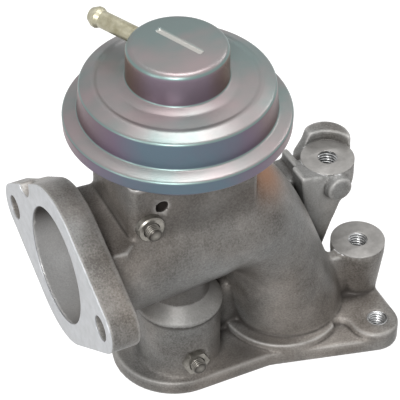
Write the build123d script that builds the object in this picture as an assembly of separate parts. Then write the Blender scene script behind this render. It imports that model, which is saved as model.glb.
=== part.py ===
from build123d import *
import math
import os

# EGR valve on an intake elbow. Millimetres, +Z up. The origin is where the valve's axis
# meets the underside of the base; the intake pipe runs along X, its flange at -X.

# Intake pipe, its flange and its elbow
pipe_axis_height = 66.0
pipe_inlet_radius = 23.8
pipe_radius = 21.4
pipe_wall = 3.4
inlet_face_x = -46.0
inlet_bore_radius = 21.0
inlet_mouth_depth = 4.0
inlet_flange_thickness = 11.0
inlet_hub_radius = 28.6
inlet_ear_radius = 8.8
inlet_bolt_spacing = 76.0
inlet_bolt_hole_radius = 4.5
inlet_flange_tilt = -5.8
inlet_flange_edge = 1.2
inlet_ear_step_along = 29.5
inlet_ear_step = 3.0
inlet_notch_radius = 5.0
inlet_notch_depth = 5.0
inlet_notch_along = 26.5
inlet_notch_out = 1.2
elbow_start_x = 11.0
elbow_heel_radius = 9.8
elbow_shoulder_reach = 55.0
elbow_crown_reach = 47.6
elbow_waist_reach = 47.6
elbow_waist_half_width = 20.4
leg_foot_radius = 20.0
leg_flare = 3.5
leg_flare_sink = 0.6
outlet_x = 47.8
outlet_y = 4.2
outlet_bore_radius = 16.0
outlet_bore_depth = 8.0

# Base flange, its ears, lobe and plateau
base_thickness = 6.0
base_end_x = 0.5
base_end_radius = 23.0
base_end_y = 5.0
base_front_hollow_x = 28.0
base_front_hollow_radius = 6.0
base_waist_radius = 20.0
base_waist_gap = 2.0
base_edge = 1.2
plateau_thickness = 8.5
plateau_front_y = -14.5
plateau_inner_corner = 4.0
plateau_end_radius = 6.0
lobe_x = 70.9
lobe_y = -19.7
lobe_radius = 9.1
lobe_corner_gap = 0.2
post_corner_radius = 5.3
lobe_hole_x = 72.2
lobe_hole_y = -19.9
rear_ear_y = 30.0
rear_ear_left_x = -8.0
rear_ear_spacing = 70.0
rear_ear_radius = 9.0
rear_ear_hole_radius = 4.5

# EGR boss and neck under the pipe
boss_radius = 15.2
boss_height = 32.0
neck_radius = 10.8
neck_cone_height = 5.3
neck_bore_radius = 7.6
chamber_radius = 11.9
port_radius = 12.6
chamber_top = 33.0
foot_flare = 1.8

# Webs and ribs
front_web_y = 2.0
rear_web_y = 7.0
web_back_y = 12.0
front_web_top = 28.0
rear_web_left_x = -13.0
rear_web_rise = 3.0
web_overlap = 4.0
web_edge = 2.0
shelf_rise = 16.0
shelf_thickness = 4.0
shelf_front_y = -20.7
shelf_back_y = 16.0
shelf_end_x = -28.2
shelf_overlap = 1.0
gusset_depth = 12.0
gusset_width = 8.0

# Block under the diaphragm
block_left_x = -24.6
block_right_x = 22.8
block_front_y = -17.0
block_back_y = 19.0
block_rise = 38.0
block_corner = 3.5
block_cavity_radius = 15.0
block_cavity_depth = 12.0
vent_radius = 2.3
vent_x = -13.8
vent_drop = 10.3

# Tapped posts
tap_radius = 3.4
tap_mouth_radius = 4.1
tap_depth = 14.0
post_b_tap_depth = 9.5
post_a_x = 74.7
post_a_y = 1.7
post_a_top = 29.0
post_a_radius = 10.2
post_a_foot_radius = 7.2
post_a_rim = 4.0
post_a_rib = 5.0
post_a_rib_offset = 5.5
post_a_rib_root = 5.0
post_a_rib_overlap = 3.0
post_a_rib_drop = 0.4
post_b_x = 69.6
post_b_y = 18.6
post_b_top = 58.0
post_b_radius = 10.0
post_b_root = 24.0
post_b_knee_x = 70.4
post_b_knee_z = 43.7
post_b_lower_angle = 71.0
post_b_upper_angle = 38.5
lug_x = 72.3
lug_y = 25.2
lug_radius = 9.2
lug_rise = 4.2
arm_inset = 0.5
arm_root = 12.2
arm_root_z = 28.0
arm_top_x = 63.0
arm_top_z = 56.0
ridge_left_x = 62.1
ridge_left_drop = 4.1
ridge_top_x = 67.4
ridge_back_y = 32.0
side_wall_x = 58.9
side_wall = 2.6
side_wall_front_y = 16.0
side_wall_back_y = 30.0
stub_x = 68.3
stub_drop = 5.6
stub_radius = 4.9
stub_reach = 3.2

# Valve: stem, head, seat, bush and seal
stem_radius = 3.0
stem_end_radius = 2.5
bush_clearance = 0.04
bush_radius = 5.0
bush_rise = 7.0
guide_boss_radius = 8.0
seal_radius = 6.5
seal_thickness = 3.0
retainer_radius = 8.0
retainer_thickness = 1.2
seat_bottom = 4.0
seat_top = 20.0
seat_bore_radius = 8.6
seat_face = 1.2
seat_gap = 0.1
head_thickness = 3.6
head_rivet = 1.0
valve_lift = 6.0
rivet_radius = 3.4
spigot_radius = 2.2

# Diaphragm case
sheet = 1.2
cup_rise = 40.7
cup_radius = 17.0
cup_corner = 2.2
cup_foot_rise = 27.4
groove_radius = 21.5
groove_rise = 26.6
bead_radius = 25.5
bead_rise = 27.4
shoulder_radius = 32.2
shoulder_rise = 25.6
shoulder_corner = 1.6
rim_radius = 38.5
rim_rise = 15.4
rim_root_radius = 33.4
crimp_rise = 9.6
crimp_inner_radius = 35.0
lower_case_floor_radius = 28.5
lower_case_wall_top_radius = 33.8
lower_case_edge_radius = 36.8
case_gasket = 0.8
case_stem_hole = 9.0
case_screw_x = 18.0
case_screw_y = 12.0
case_screw_radius = 2.5
case_screw_hole = 2.8
case_screw_length = 9.0
case_screw_head_radius = 4.3
case_screw_head = 1.9
cup_slot_length = 19.0
cup_slot_width = 2.2
cup_slot_depth = 0.5
cup_slot_angle = -66.0
cup_slot_x = 1.5
cup_slot_y = 1.5

# Diaphragm, plates and spring
diaphragm_thickness = 1.5
diaphragm_edge_radius = 36.8
diaphragm_edge = 2.2
diaphragm_bead_radius = 34.4
diaphragm_slope_end = 31.5
diaphragm_flat_radius = 24.0
diaphragm_corner = 1.5
diaphragm_rise = 5.6
plate_radius = 22.0
plate_thickness = 1.2
plate_lip_gap = 0.3
lower_plate_radius = 20.0
washer_radius = 6.0
washer_thickness = 1.0
nut_flats = 8.0
nut_height = 4.0
stem_tip = 1.2
lower_plate_thickness = 1.2
spring_wire_radius = 1.15
spring_radius = 12.6
spring_turns = 5.0
spring_gap = 0.15

# Vacuum nipple
nipple_radius = 3.0
nipple_bore_radius = 1.9
nipple_bead_radius = 3.7
nipple_rise = 36.0
nipple_length = 19.5
nipple_bead_from_tip = 4.6
nipple_angle = 115.5
nipple_embed = 0.6

# Studs and their nuts on the front
stud_radius = 3.0
stud_embed = 9.0
block_stud_x = -18.8
block_stud_rise = 5.4
block_stud_reach = 5.2
block_nut_radius = 4.9
block_nut_height = 2.6
boss_stud_x = -0.5
boss_stud_height = 13.2
boss_stud_reach = 4.4
boss_stud_embed = 2.2
boss_nut_flats = 8.6
boss_nut_height = 2.6
boss_spot_radius = 5.4
boss_spot_y = -14.2
stud_chamfer = 0.5

shelf_top = pipe_axis_height + shelf_rise
block_top = pipe_axis_height + block_rise
block_cavity_floor = block_top - block_cavity_depth
block_stud_height = shelf_top + block_stud_rise
vent_height = block_top - vent_drop
cup_top = block_top + cup_rise
cup_foot = block_top + cup_foot_rise
groove_height = block_top + groove_rise
bead_height = block_top + bead_rise
shoulder_height = block_top + shoulder_rise
rim_top = block_top + rim_rise
crimp_bottom = block_top + crimp_rise
diaphragm_bottom = block_top + diaphragm_rise
nipple_height = block_top + nipple_rise
bush_bottom = pipe_axis_height + bush_rise
bush_top = block_cavity_floor - retainer_thickness - seal_thickness
head_bottom = seat_top - seat_face
head_top = head_bottom + head_thickness
lower_case_floor = block_top + case_gasket + sheet
lower_case_rim = crimp_bottom + 2 * sheet
stem_shoulder = diaphragm_bottom - lower_plate_thickness
plate_seat = diaphragm_bottom + diaphragm_thickness
nut_seat = plate_seat + plate_thickness + washer_thickness
stem_top = nut_seat + nut_height + stem_tip
case_screws_at = [(i * case_screw_x, j * case_screw_y) for i in (-1, 1) for j in (-1, 1)]


def rod(radius, bottom, top, x=0, y=0):
    """A vertical cylinder between two heights."""
    return Pos(x, y, bottom) * extrude(Circle(radius), top - bottom)


def front_rod(radius, x, z, start_y, reach):
    """A cylinder along -Y from a front face, which stands out by its reach."""
    return Plane((x, start_y, z), x_dir=(1, 0, 0), z_dir=(0, -1, 0)) * extrude(Circle(radius), reach)


def block_between(low, high):
    """A box between two corners."""
    size = [b - a for a, b in zip(low, high)]
    middle = [(a + b) / 2 for a, b in zip(low, high)]
    return Pos(*middle) * Box(*size)


def belt(*circles):
    """The outline of a belt run anticlockwise round circles (x, y, radius).

    A circle with a negative radius stands outside the belt and presses a hollow into it.
    """
    count = len(circles)
    normals = []
    for i, (x1, y1, r1) in enumerate(circles):
        x2, y2, r2 = circles[(i + 1) % count]
        along = math.atan2(y2 - y1, x2 - x1)
        normals.append(along - math.pi / 2 + math.asin((r1 - r2) / math.hypot(x2 - x1, y2 - y1)))
    edges = []
    for i, (x, y, r) in enumerate(circles):
        first, last = normals[i - 1], normals[i]
        turn = (last - first) % (2 * math.pi)
        turn -= 2 * math.pi if r < 0 else 0
        start, middle, end = [
            (x + r * math.cos(angle), y + r * math.sin(angle)) for angle in (first, first + turn / 2, last)
        ]
        edges.append(ThreePointArc(start, middle, end))
        x2, y2, r2 = circles[(i + 1) % count]
        edges.append(Line(end, (x2 + r2 * math.cos(last), y2 + r2 * math.sin(last))))
    return make_face(edges)


def turned(points):
    """A solid turned about Z from a closed (radius, height) profile."""
    line = Polyline(*[(r, 0, z) for r, z in points], close=True)
    return revolve(make_face(line), Axis.Z)


def pressed(points, corner, thickness, side):
    """A sheet turned about Z: a filleted (radius, height) line thickened to one side."""
    line = FilletPolyline(*points, radius=corner)
    sheet_outline = offset(line, thickness, side=side, closed=True)
    return revolve(Plane.XZ * make_face(sheet_outline.edges()), Axis.Z)


def flare(radius, size, height, x=0, y=0):
    """The hollow fillet ring at the foot of a round boss."""
    inside = radius - size
    profile = make_face(
        [
            Line((inside, 0), (radius + size, 0)),
            RadiusArc((radius + size, 0), (radius, size), size),
            Line((radius, size), (inside, size)),
            Line((inside, size), (inside, 0)),
        ]
    )
    return Pos(x, y, height) * revolve(Plane.XZ * profile, Axis.Z)


def hexagon(flats, height):
    return extrude(RegularPolygon(flats / math.sqrt(3), 6), height)


def tapped_hole(x, y, top, depth):
    """A tapping-size hole with its mouth chamfered."""
    mouth = tap_mouth_radius - tap_radius
    cone = Pos(x, y, top - mouth / 2) * Cone(tap_radius, tap_mouth_radius, mouth)
    return rod(tap_radius, top - depth, top, x, y) + cone


def inlet_plane(x):
    """A drawing plane across the pipe facing -X, its x axis along the flange's bolt line."""
    tilt = math.radians(inlet_flange_tilt)
    return Plane((x, 0, pipe_axis_height), x_dir=(0, -math.cos(tilt), -math.sin(tilt)), z_dir=(-1, 0, 0))


def inlet_flange():
    half = inlet_bolt_spacing / 2
    hub = (0, 0, inlet_hub_radius)
    outline = belt((half, 0, inlet_ear_radius), hub, (-half, 0, inlet_ear_radius), hub)
    back_x = inlet_face_x + inlet_flange_thickness
    body = inlet_plane(back_x) * extrude(outline, inlet_flange_thickness)
    body = fillet(body.faces().sort_by(Axis.X)[-1].edges(), inlet_flange_edge)
    far_ear = Pos(-inlet_ear_step_along - half / 2, 0) * Rectangle(half, 2 * half)
    body -= inlet_plane(back_x) * extrude(far_ear, inlet_ear_step)
    spread = math.asin((inlet_hub_radius - inlet_ear_radius) / half)
    reach = (inlet_hub_radius - inlet_notch_along * math.sin(spread)) / math.cos(spread)
    notch = Pos(-inlet_notch_along, reach + inlet_notch_out) * Circle(inlet_notch_radius)
    return body - inlet_plane(inlet_face_x + inlet_notch_depth) * extrude(notch, inlet_notch_depth)


def bend(wall):
    """The sections of the bend inside a given wall, from the pipe's end down to the leg's waist.

    They fan out from the middle of the heel's hollow, under the pipe. Each is stated by its
    angle from upright, its outer reach from that middle and its half width.
    """
    heel_z = pipe_axis_height - pipe_radius - elbow_heel_radius
    stations = [
        (0, elbow_heel_radius + 2 * pipe_radius, pipe_radius),
        (20, elbow_shoulder_reach, pipe_radius),
        (45, elbow_crown_reach, (pipe_radius + elbow_waist_half_width) / 2),
        (90, elbow_waist_reach, elbow_waist_half_width),
    ]
    sections = []
    for angle, reach, half_width in stations:
        middle = (reach + elbow_heel_radius) / 2
        half_height = (reach - elbow_heel_radius) / 2
        lean = math.radians(angle)
        centre_x = elbow_start_x + middle * math.sin(lean)
        share = (centre_x - elbow_start_x) / (outlet_x - elbow_start_x)
        centre = (centre_x, share * outlet_y, heel_z + middle * math.cos(lean))
        plane = Plane(centre, x_dir=(0, 1, 0), z_dir=(math.cos(lean), 0, -math.sin(lean)))
        if angle == 0:
            outline = Circle(half_width - wall)
        else:
            outline = Ellipse(half_width - wall, half_height - wall)
        sections.append(plane * outline)
    return sections


def elbow():
    """The outside of the bend and of the outlet leg, which leans out to its foot on the base."""
    foot = Pos(outlet_x, outlet_y, 0) * Circle(leg_foot_radius)
    skirt = flare(leg_foot_radius - leg_flare_sink, leg_flare, base_thickness, outlet_x, outlet_y)
    return loft(bend(0) + [foot]) + skirt


def base_plate():
    left = (base_end_x, base_end_y, base_end_radius)
    front_y = base_end_y - base_end_radius
    hollow = (base_front_hollow_x, front_y - base_front_hollow_radius, -base_front_hollow_radius)
    lobe = (lobe_x, lobe_y, lobe_radius)
    post = (post_a_x, post_a_y, post_corner_radius)
    ear_left, ear_right = [
        (rear_ear_left_x + i * rear_ear_spacing, rear_ear_y, rear_ear_radius) for i in (0, 1)
    ]
    waist_y = base_end_y + base_end_radius + base_waist_radius + base_waist_gap
    waist = (rear_ear_left_x + rear_ear_spacing / 2, waist_y, -base_waist_radius)
    plate = extrude(belt(left, hollow, lobe, post, ear_right, waist, ear_left), base_thickness)
    plate = fillet(plate.faces().sort_by(Axis.Z)[-1].edges(), base_edge)
    corner = plateau_inner_corner
    corner_y = plateau_front_y - corner
    reach = lobe_radius + corner + lobe_corner_gap
    corner_x = lobe_x - math.sqrt(reach**2 - (corner_y - lobe_y) ** 2)
    inner = (outlet_x, plateau_front_y + plateau_end_radius, plateau_end_radius)
    outer = (outlet_x, post_a_y, plateau_end_radius)
    raised = belt(inner, (corner_x, corner_y, -corner), lobe, post, outer)
    plateau = extrude(raised, plateau_thickness)
    plateau = fillet(plateau.faces().sort_by(Axis.Z)[-1].edges(), base_edge)
    return plate + plateau


def boss_and_neck():
    boss = rod(boss_radius, 0, boss_height)
    cone_middle = boss_height + neck_cone_height / 2
    cone = Pos(0, 0, cone_middle) * Cone(boss_radius, neck_radius, neck_cone_height)
    neck = rod(neck_radius, boss_height, pipe_axis_height)
    return boss + cone + neck + flare(boss_radius, foot_flare, base_thickness)


def webs():
    right = outlet_x - leg_foot_radius + web_overlap
    front = block_between((0, front_web_y, 0), (right, web_back_y, front_web_top))
    front = fillet(front.edges().filter_by(Axis.X).sort_by(Axis.Z)[-2:], web_edge)
    rear_top = pipe_axis_height - pipe_radius + rear_web_rise
    rear = block_between((rear_web_left_x, rear_web_y, 0), (right, web_back_y, rear_top))
    start = inlet_face_x + inlet_flange_thickness - shelf_overlap
    corner = block_left_x + shelf_overlap
    plan = make_face(
        Polyline(
            (start, shelf_front_y), (shelf_end_x, shelf_front_y), (corner, block_front_y),
            (corner, shelf_back_y), (start, shelf_back_y), close=True,
        )
    )
    shelf = Pos(0, 0, shelf_top - shelf_thickness) * extrude(plan, shelf_thickness)
    gusset_plan = make_face(
        Polyline(
            (start, shelf_top - shelf_overlap), (shelf_end_x, shelf_top - shelf_overlap),
            (start, shelf_top - gusset_depth), close=True,
        )
    )
    gusset = Pos(0, shelf_front_y, 0) * (Plane.XZ * extrude(gusset_plan, -gusset_width))
    return front + rear + shelf + gusset


def block_plan():
    plan = make_face(
        Polyline(
            (block_left_x, block_front_y), (block_right_x, block_front_y),
            (block_right_x, block_back_y), (block_left_x, block_back_y), close=True,
        )
    )
    return fillet(plan.vertices(), block_corner)


def block():
    return Pos(0, 0, pipe_axis_height) * extrude(block_plan(), block_top - pipe_axis_height)


def posts():
    cone_height = post_a_top - post_a_rim
    post_a = Pos(post_a_x, post_a_y, cone_height / 2) * Cone(post_a_foot_radius, post_a_radius, cone_height)
    post_a += rod(post_a_radius, cone_height, post_a_top, post_a_x, post_a_y)
    rib_y = post_a_y - post_a_rib_offset
    rib = block_between(
        (outlet_x + post_a_rib_root, rib_y, 0),
        (post_a_x - post_a_rib_overlap, rib_y + post_a_rib, post_a_top - post_a_rib_drop),
    )
    return post_a + rib + bracket()


def front_outline(points, front_y, back_y):
    """A solid whose outline is drawn in (x, z), between two stations in y."""
    outline = make_face(Polyline(*points, close=True))
    return Pos(0, back_y, 0) * (Plane.XZ * extrude(outline, back_y - front_y))


def bracket():
    """The second post on its arm, with the lug behind its spot face and a stub on its front."""
    column = rod(post_b_radius, post_b_root, post_b_top, post_b_x, post_b_y)
    lug_top = post_b_top + lug_rise
    ridge_left_z = post_b_top - ridge_left_drop
    lug_back_y = lug_y + lug_radius
    slanted = front_outline(
        [
            (ridge_left_x, post_b_root), (ridge_left_x, ridge_left_z), (ridge_top_x, lug_top),
            (lug_x + lug_radius, lug_top), (lug_x + lug_radius, post_b_root),
        ],
        post_b_y,
        lug_back_y,
    )
    ridge = block_between((ridge_left_x, post_b_y, post_b_root), (lug_x, ridge_back_y, lug_top))
    lug = (rod(lug_radius, post_b_root, lug_top, lug_x, lug_y) + ridge) & slanted
    root_x = elbow_start_x + elbow_crown_reach / 2 + arm_root
    side_x = post_b_x + math.sqrt(post_b_radius**2 - (post_b_radius - arm_inset) ** 2)
    arm = front_outline(
        [
            (root_x, post_b_root), (root_x, arm_root_z), (arm_top_x, arm_top_z),
            (side_x, arm_top_z), (side_x, post_b_root),
        ],
        post_b_y - post_b_radius + arm_inset,
        post_b_y,
    )
    arm += block_between((root_x, side_wall_front_y, post_b_root), (post_b_x, side_wall_back_y, ridge_left_z))
    wall = block_between(
        (side_wall_x - side_wall, side_wall_front_y, post_b_root), (side_wall_x, side_wall_back_y, post_b_top)
    )
    reach = 3 * post_b_radius
    lower_z = post_b_knee_z - reach * math.tan(math.radians(post_b_lower_angle))
    upper_z = post_b_knee_z + reach * math.tan(math.radians(post_b_upper_angle))
    under = front_outline(
        [
            (post_b_knee_x - reach, lower_z), (post_b_knee_x, post_b_knee_z),
            (post_b_knee_x + reach, upper_z), (post_b_knee_x + reach, lower_z),
        ],
        post_b_y - reach,
        lug_back_y + reach,
    )
    stub = front_rod(stub_radius, stub_x, post_b_top - stub_drop, post_b_y, post_b_radius + stub_reach)
    return column + lug + arm + wall - under + stub


def pipe_cone(inlet_radius, end_radius, start_x):
    """The tapering pipe, or its bore, from a station on to where the elbow starts."""
    length = elbow_start_x - start_x
    middle = Plane(((start_x + elbow_start_x) / 2, 0, pipe_axis_height), x_dir=(0, 1, 0), z_dir=(1, 0, 0))
    return middle * Cone(inlet_radius, end_radius, length)


def passages():
    """Everything bored out of the casting. The intake's roof is flat under the shelf."""
    mouth_end = inlet_face_x + inlet_mouth_depth
    bore = inlet_plane(mouth_end) * extrude(Circle(inlet_bore_radius), inlet_mouth_depth)
    bore += pipe_cone(inlet_bore_radius, pipe_radius - pipe_wall, mouth_end)
    roof = make_face(
        Polyline(
            (inlet_face_x + inlet_flange_thickness, shelf_top - shelf_thickness),
            (block_left_x, shelf_top - shelf_thickness),
            (elbow_start_x, pipe_axis_height + pipe_radius),
            (inlet_face_x + inlet_flange_thickness, pipe_axis_height + pipe_radius),
            close=True,
        )
    )
    bore -= Plane.XZ * extrude(roof, pipe_inlet_radius, both=True)
    outlet = rod(outlet_bore_radius, 0, outlet_bore_depth, outlet_x, outlet_y)
    foot = Pos(outlet_x, outlet_y, outlet_bore_depth) * Circle(outlet_bore_radius)
    chamber = rod(chamber_radius, 0, chamber_top) + rod(port_radius, 0, seat_bottom)
    neck = rod(neck_bore_radius, chamber_top, pipe_axis_height)
    return bore + loft(bend(pipe_wall) + [foot]) + outlet + chamber + neck


def housing():
    flange_back = inlet_face_x + inlet_flange_thickness
    pipe = pipe_cone(pipe_inlet_radius, pipe_radius, flange_back)
    pipe -= block_between(
        (flange_back, -pipe_inlet_radius, shelf_top), (block_left_x, pipe_inlet_radius, block_top)
    )
    body = base_plate() + boss_and_neck() + elbow() + posts() + webs()
    body += pipe + block() + inlet_flange()
    body -= passages()
    body += rod(guide_boss_radius, bush_bottom, block_cavity_floor)
    half = inlet_bolt_spacing / 2
    for side in (-1, 1):
        hole = Pos(side * half, 0) * Circle(inlet_bolt_hole_radius)
        body -= inlet_plane(inlet_face_x + inlet_flange_thickness + 1) * extrude(hole, inlet_flange_thickness + 2)
    body -= rod(bush_radius, bush_bottom, block_cavity_floor)
    body -= rod(seal_radius, bush_top, block_cavity_floor)
    body -= rod(retainer_radius, block_cavity_floor - retainer_thickness, block_cavity_floor)
    body -= rod(block_cavity_radius, block_cavity_floor, block_top)
    body -= front_rod(vent_radius, vent_x, vent_height, 0, -block_front_y)
    for x, y in case_screws_at:
        body -= rod(case_screw_radius, block_top - case_screw_length, block_top, x, y)
    body -= tapped_hole(post_a_x, post_a_y, post_a_top, tap_depth)
    body -= rod(post_b_radius, post_b_top, post_b_top + 2 * lug_rise, post_b_x, post_b_y)
    body -= tapped_hole(post_b_x, post_b_y, post_b_top, post_b_tap_depth)
    body -= tapped_hole(lobe_hole_x, lobe_hole_y, plateau_thickness, plateau_thickness)
    for i in (0, 1):
        body -= rod(rear_ear_hole_radius, 0, base_thickness, rear_ear_left_x + i * rear_ear_spacing, rear_ear_y)
    body -= front_rod(stud_radius, block_stud_x, block_stud_height, block_front_y + stud_embed, stud_embed)
    body -= front_rod(boss_spot_radius, boss_stud_x, boss_stud_height, boss_spot_y, boss_radius)
    body -= front_rod(stud_radius, boss_stud_x, boss_stud_height, boss_spot_y + boss_stud_embed, boss_stud_embed)
    return body


def valve_seat():
    ring = rod(chamber_radius, seat_bottom, seat_top) - rod(seat_bore_radius, seat_bottom, seat_top)
    cone = Cone(seat_bore_radius, seat_bore_radius + seat_face, seat_face)
    return ring - Pos(0, 0, seat_top - seat_face / 2) * cone


def valve_head():
    small = seat_bore_radius - seat_gap
    large = small + seat_face
    return turned(
        [
            (spigot_radius, head_bottom), (small, head_bottom), (large, seat_top),
            (large, head_top), (spigot_radius, head_top),
        ]
    )


def valve_stem():
    return turned(
        [
            (0, head_bottom - head_rivet), (rivet_radius, head_bottom - head_rivet),
            (rivet_radius, head_bottom), (spigot_radius, head_bottom),
            (spigot_radius, head_top), (stem_radius, head_top),
            (stem_radius, stem_shoulder), (stem_end_radius, stem_shoulder),
            (stem_end_radius, stem_top), (0, stem_top),
        ]
    )


def guide_bush():
    hole = stem_radius + bush_clearance
    return rod(bush_radius, bush_bottom, bush_top) - rod(hole, bush_bottom, bush_top)


def stem_seal():
    hole = stem_radius + bush_clearance
    return rod(seal_radius, bush_top, bush_top + seal_thickness) - rod(hole, bush_top, block_cavity_floor)


def seal_retainer():
    bottom = bush_top + seal_thickness
    return rod(retainer_radius, bottom, block_cavity_floor) - rod(bush_radius, bottom, block_cavity_floor)


def case_gasket_sheet():
    plan = Sketch() + block_plan() - Circle(block_cavity_radius)
    plan -= [Pos(x, y) * Circle(case_screw_hole) for x, y in case_screws_at]
    return Pos(0, 0, block_top) * extrude(plan, case_gasket)


def lower_case():
    bottom = lower_case_floor - sheet
    rim = crimp_bottom + sheet
    line = [
        (case_stem_hole, bottom), (lower_case_floor_radius, bottom),
        (lower_case_wall_top_radius, rim), (lower_case_edge_radius, rim),
    ]
    dish = pressed(line, shoulder_corner, sheet, Side.LEFT)
    for x, y in case_screws_at:
        dish -= rod(case_screw_hole, bottom, lower_case_floor, x, y)
    return dish


def case_screws():
    screws = []
    for x, y in case_screws_at:
        shank = rod(case_screw_radius, block_top - case_screw_length + 1, lower_case_floor, x, y)
        head = rod(case_screw_head_radius, lower_case_floor, lower_case_floor + case_screw_head, x, y)
        head = fillet(head.faces().sort_by(Axis.Z)[-1].edges(), case_screw_head / 2)
        screws.append(shank + head)
    return Compound(children=[screw.solid() for screw in screws])


def diaphragm_cover():
    line = [
        (0, cup_top), (cup_radius, cup_top), (cup_radius, cup_foot),
        (groove_radius, groove_height), (bead_radius, bead_height),
        (shoulder_radius, shoulder_height), (rim_root_radius, rim_top),
        (rim_radius, rim_top), (rim_radius, crimp_bottom), (crimp_inner_radius, crimp_bottom),
    ]
    cover = pressed(line, shoulder_corner, sheet, Side.RIGHT)
    slot = Rot(0, 0, cup_slot_angle) * SlotOverall(cup_slot_length, cup_slot_width)
    cover -= Pos(cup_slot_x, cup_slot_y, cup_top - cup_slot_depth) * extrude(slot, cup_slot_depth)
    bore = extrude(Circle(nipple_radius), cup_radius)
    return cover - nipple_plane() * bore


def diaphragm():
    middle = lower_case_rim + (diaphragm_edge - diaphragm_thickness) / 2
    line = [
        (stem_end_radius, diaphragm_bottom), (diaphragm_flat_radius, diaphragm_bottom),
        (diaphragm_slope_end, middle), (diaphragm_edge_radius, middle),
    ]
    sheet_part = pressed(line, diaphragm_corner, diaphragm_thickness, Side.LEFT)
    top = lower_case_rim + diaphragm_edge
    bead = rod(diaphragm_edge_radius, lower_case_rim, top) - rod(diaphragm_bead_radius, lower_case_rim, top)
    return sheet_part + bead


def plate_upper():
    """The cupped plate: its turned-up lip meets the cover and stops the lift."""
    lip_top = groove_height - sheet - valve_lift - plate_lip_gap
    line = [(stem_end_radius, plate_seat), (plate_radius, plate_seat), (plate_radius, lip_top)]
    return pressed(line, shoulder_corner, plate_thickness, Side.LEFT)


def plate_lower():
    disc = rod(lower_plate_radius, stem_shoulder, diaphragm_bottom)
    return disc - rod(stem_end_radius, stem_shoulder, diaphragm_bottom)


def plate_washer():
    bottom = plate_seat + plate_thickness
    return rod(washer_radius, bottom, nut_seat) - rod(stem_end_radius, bottom, nut_seat)


def stem_nut():
    nut = Pos(0, 0, nut_seat) * hexagon(nut_flats, nut_height)
    return nut - rod(stem_end_radius, nut_seat, nut_seat + nut_height)


def return_spring():
    bottom = plate_seat + plate_thickness + spring_gap + spring_wire_radius
    height = cup_top - sheet - spring_wire_radius - bottom
    coil = Helix(height / spring_turns, height, spring_radius, center=(0, 0, bottom))
    wire = Plane(coil @ 0, z_dir=coil % 0) * Circle(spring_wire_radius)
    return sweep(wire, coil, is_frenet=True)


def nipple_plane():
    """A drawing plane on the valve's axis, facing out along the vacuum nipple."""
    angle = math.radians(nipple_angle)
    return Plane((0, 0, nipple_height), x_dir=(0, 0, 1), z_dir=(math.cos(angle), math.sin(angle), 0))


def vacuum_nipple():
    start = cup_radius - sheet - nipple_embed
    tip = cup_radius + nipple_length
    bead = tip - nipple_bead_from_tip
    rise = nipple_bead_radius - nipple_radius
    tube = turned(
        [
            (nipple_bore_radius, start), (nipple_radius, start), (nipple_radius, bead),
            (nipple_bead_radius, bead + 2 * rise), (nipple_bead_radius, tip - 3 * rise),
            (nipple_radius - 0.4, tip), (nipple_bore_radius, tip),
        ]
    )
    return nipple_plane() * tube


def front_stud(x, z, root_y, embed, reach):
    """A stud in a front face, its end chamfered."""
    stud = front_rod(stud_radius, x, z, root_y + embed, embed + reach)
    return chamfer(stud.faces().sort_by(Axis.Y)[0].edges(), stud_chamfer)


def block_stud():
    return front_stud(block_stud_x, block_stud_height, block_front_y, stud_embed, block_stud_reach)


def block_nut():
    place = (block_stud_x, block_stud_height, block_front_y)
    collar = front_rod(block_nut_radius, *place, block_nut_height)
    collar = chamfer(collar.faces().sort_by(Axis.Y)[0].edges(), stud_chamfer)
    return collar - front_rod(stud_radius, *place, block_nut_height)


def boss_stud():
    return front_stud(boss_stud_x, boss_stud_height, boss_spot_y, boss_stud_embed, boss_stud_reach)


def boss_nut():
    face = Plane((boss_stud_x, boss_spot_y, boss_stud_height), x_dir=(1, 0, 0), z_dir=(0, -1, 0))
    return face * (hexagon(boss_nut_flats, boss_nut_height) - rod(stud_radius, 0, boss_nut_height))


nodes = {
    "housing": housing,
    "valve_seat": valve_seat,
    "valve_head": valve_head,
    "valve_stem": valve_stem,
    "guide_bush": guide_bush,
    "stem_seal": stem_seal,
    "seal_retainer": seal_retainer,
    "case_gasket": case_gasket_sheet,
    "lower_case": lower_case,
    "case_screws": case_screws,
    "diaphragm_cover": diaphragm_cover,
    "diaphragm": diaphragm,
    "plate_upper": plate_upper,
    "plate_lower": plate_lower,
    "plate_washer": plate_washer,
    "stem_nut": stem_nut,
    "return_spring": return_spring,
    "vacuum_nipple": vacuum_nipple,
    "block_stud": block_stud,
    "block_nut": block_nut,
    "boss_stud": boss_stud,
    "boss_nut": boss_nut,
}

if __name__ == "__main__":
    os.makedirs("parts", exist_ok=True)
    for name, build in nodes.items():
        shape = build()
        export_step(shape, f"parts/{name}.step")
        print(name, len(shape.solids()), round(shape.volume, 1))
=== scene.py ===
import math

import bmesh
import bpy
import numpy as np
import openvdb
from mathutils import Matrix, Vector


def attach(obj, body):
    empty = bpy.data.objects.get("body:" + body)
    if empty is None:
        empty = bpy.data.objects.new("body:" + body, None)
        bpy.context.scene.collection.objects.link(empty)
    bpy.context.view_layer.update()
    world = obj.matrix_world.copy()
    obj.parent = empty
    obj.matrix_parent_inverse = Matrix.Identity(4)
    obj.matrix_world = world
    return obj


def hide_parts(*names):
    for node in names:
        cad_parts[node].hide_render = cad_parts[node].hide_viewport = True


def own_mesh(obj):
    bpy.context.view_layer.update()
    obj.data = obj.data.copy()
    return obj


# EGR valve on a cast intake elbow. Metres, +Z up, the frame of the CAD nodes.

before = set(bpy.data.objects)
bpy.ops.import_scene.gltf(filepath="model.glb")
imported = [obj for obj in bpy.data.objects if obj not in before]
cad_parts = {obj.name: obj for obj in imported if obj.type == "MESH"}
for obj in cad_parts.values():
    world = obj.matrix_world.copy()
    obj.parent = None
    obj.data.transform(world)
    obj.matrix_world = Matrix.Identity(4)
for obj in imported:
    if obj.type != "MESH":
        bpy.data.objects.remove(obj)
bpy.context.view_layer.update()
mm = 0.001
print("frame loaded:", len(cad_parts), "nodes")


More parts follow.
